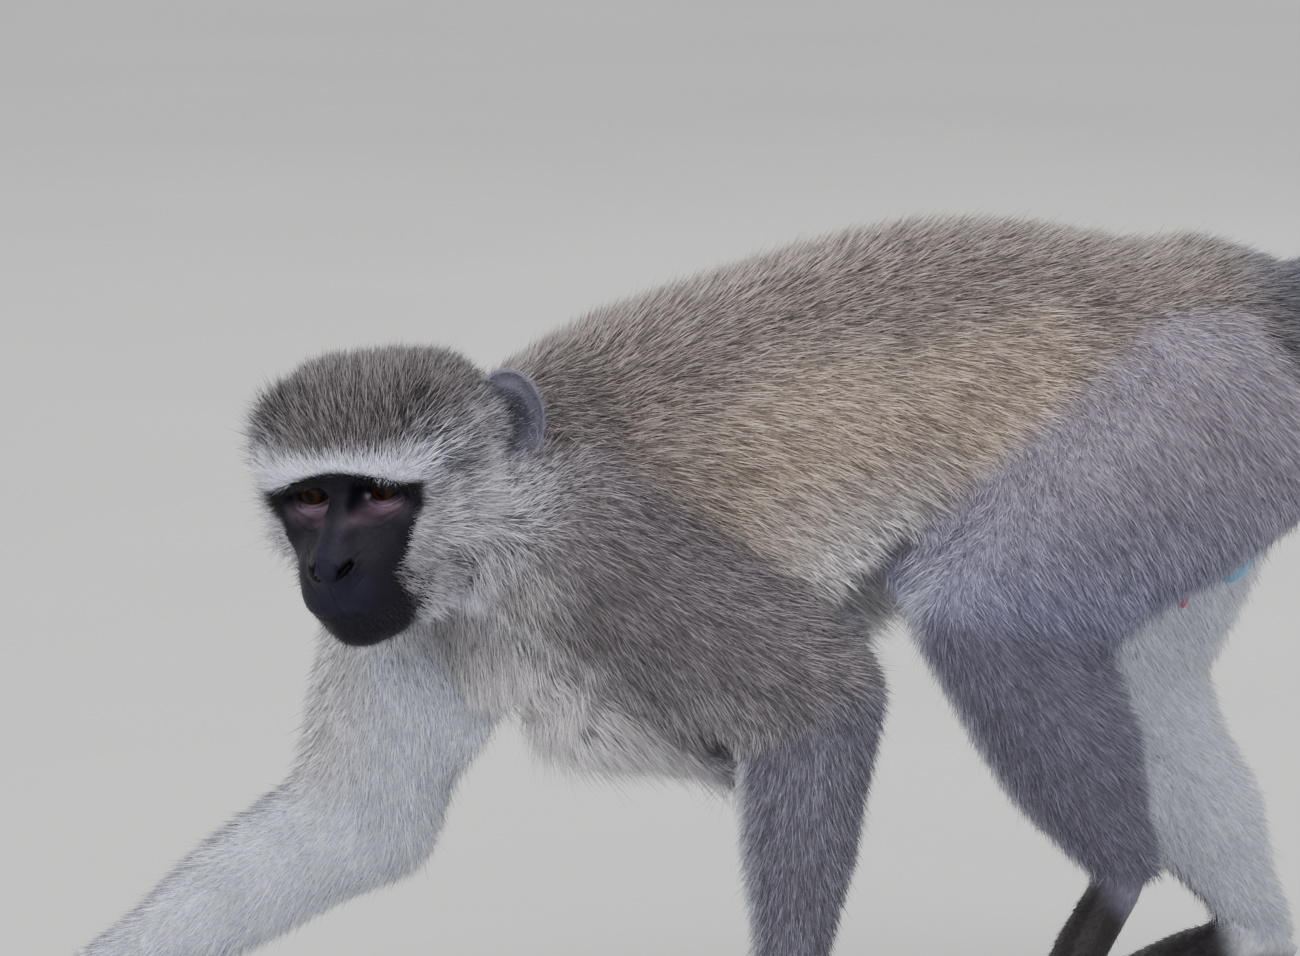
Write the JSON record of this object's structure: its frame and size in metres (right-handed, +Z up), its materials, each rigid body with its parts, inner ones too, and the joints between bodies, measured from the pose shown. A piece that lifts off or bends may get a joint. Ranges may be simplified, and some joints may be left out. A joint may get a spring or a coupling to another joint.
{
  "type": "vervet monkey",
  "caption": "Life-size still model of an adult vervet monkey in mid-walk, grey coat, pale brow and black face, head turned to its left, tail low behind.",
  "frame": {"origin": "middle of the underside of the whole animal's bounding box, on the floor", "axes": "+Z up, -Y the way the animal walks, +X its left side"},
  "size_m": [0.1874, 1.029, 0.364],
  "materials": {
    "back_coat": "short grizzled brown-grey fur",
    "limb_coat": "short grizzled cool grey fur",
    "pale_coat": "long creamy white fur",
    "tail_coat": "short dense grey fur, darker to the tip",
    "bare_skin": "fine-grained, slightly moist black skin",
    "eye": "wet, clear and glossy over a brown iris",
    "blue_skin": "smooth turquoise-blue skin",
    "red_skin": "smooth red skin",
    "nail": "dark polished horn"
  },
  "bodies": {
    "root": {"head": "back_coat", "face": "bare_skin", "eye_left": "eye", "ear_left": "bare_skin", "eye_right": "eye", "ear_right": "bare_skin", "scrotum": "blue_skin", "prepuce": "red_skin", "neck": "pale_coat", "chest": "back_coat", "loin": "back_coat", "hips": "back_coat", "upper_arm_left": "limb_coat", "forearm_left": "limb_coat", "hand_left": "bare_skin", "upper_arm_right": "limb_coat", "forearm_right": "limb_coat", "hand_right": "bare_skin", "thigh_left": "limb_coat", "shank_left": "limb_coat", "foot_left": "bare_skin", "thigh_right": "limb_coat", "shank_right": "limb_coat", "foot_right": "bare_skin", "tail_root": "tail_coat", "tail_middle": "tail_coat", "tail_tip": "tail_coat"}
  },
  "joints": []
}
